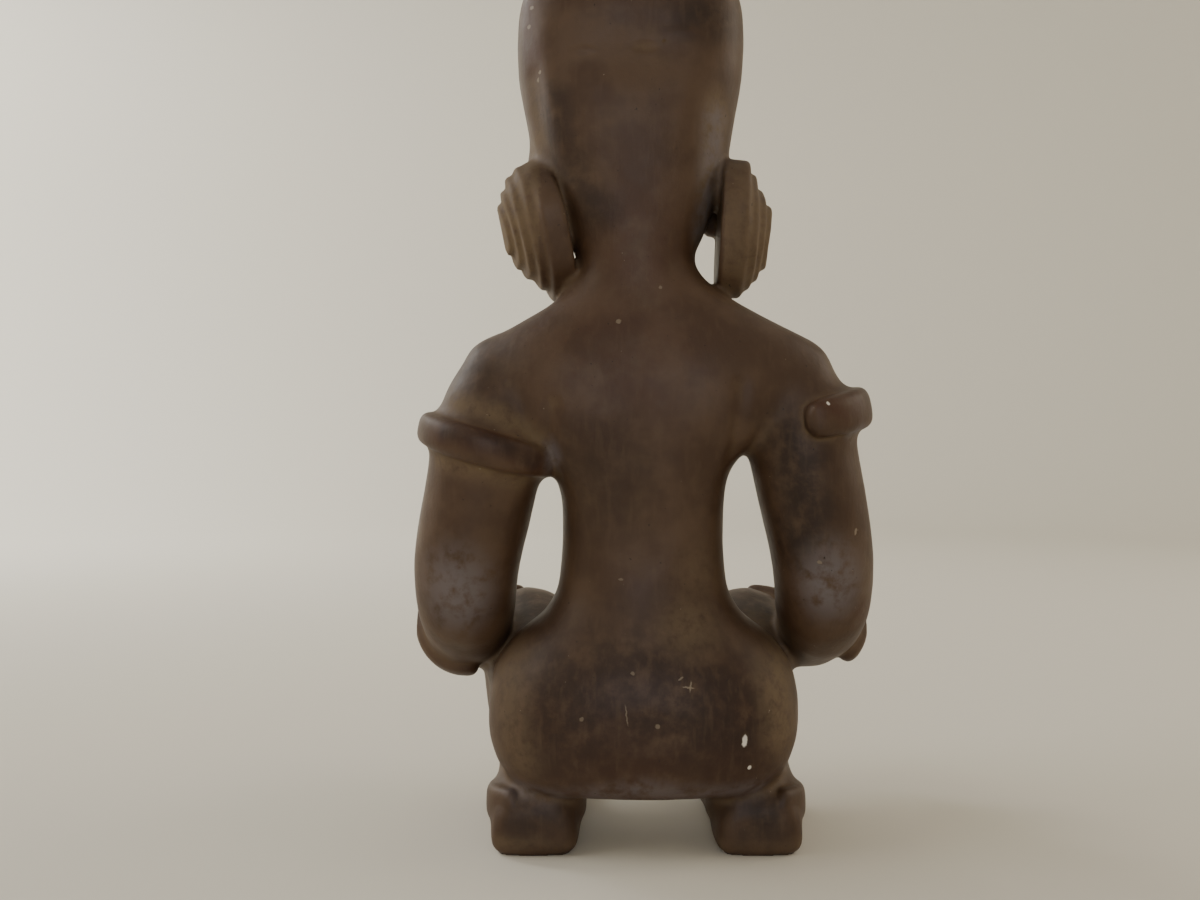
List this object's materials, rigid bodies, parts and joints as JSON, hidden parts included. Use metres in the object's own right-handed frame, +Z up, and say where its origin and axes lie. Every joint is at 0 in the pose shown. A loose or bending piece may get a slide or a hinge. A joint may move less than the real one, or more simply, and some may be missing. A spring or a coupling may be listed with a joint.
{
  "type": "squatting clay figure",
  "caption": "Burnished brown clay figure squatting with its hands on its knees, with stepped round ear ornaments and pressed clay bands; it stands on its own feet.",
  "frame": {"origin": "on the ground, under the centre of the figure's bounding box", "axes": "+Z up, +Y the way the figure faces, +X towards its own right hand"},
  "size_m": [0.1552, 0.0998, 0.288],
  "materials": {
    "clay": "burnished"
  },
  "bodies": {
    "root": {"clay_figure": "clay"}
  },
  "joints": []
}
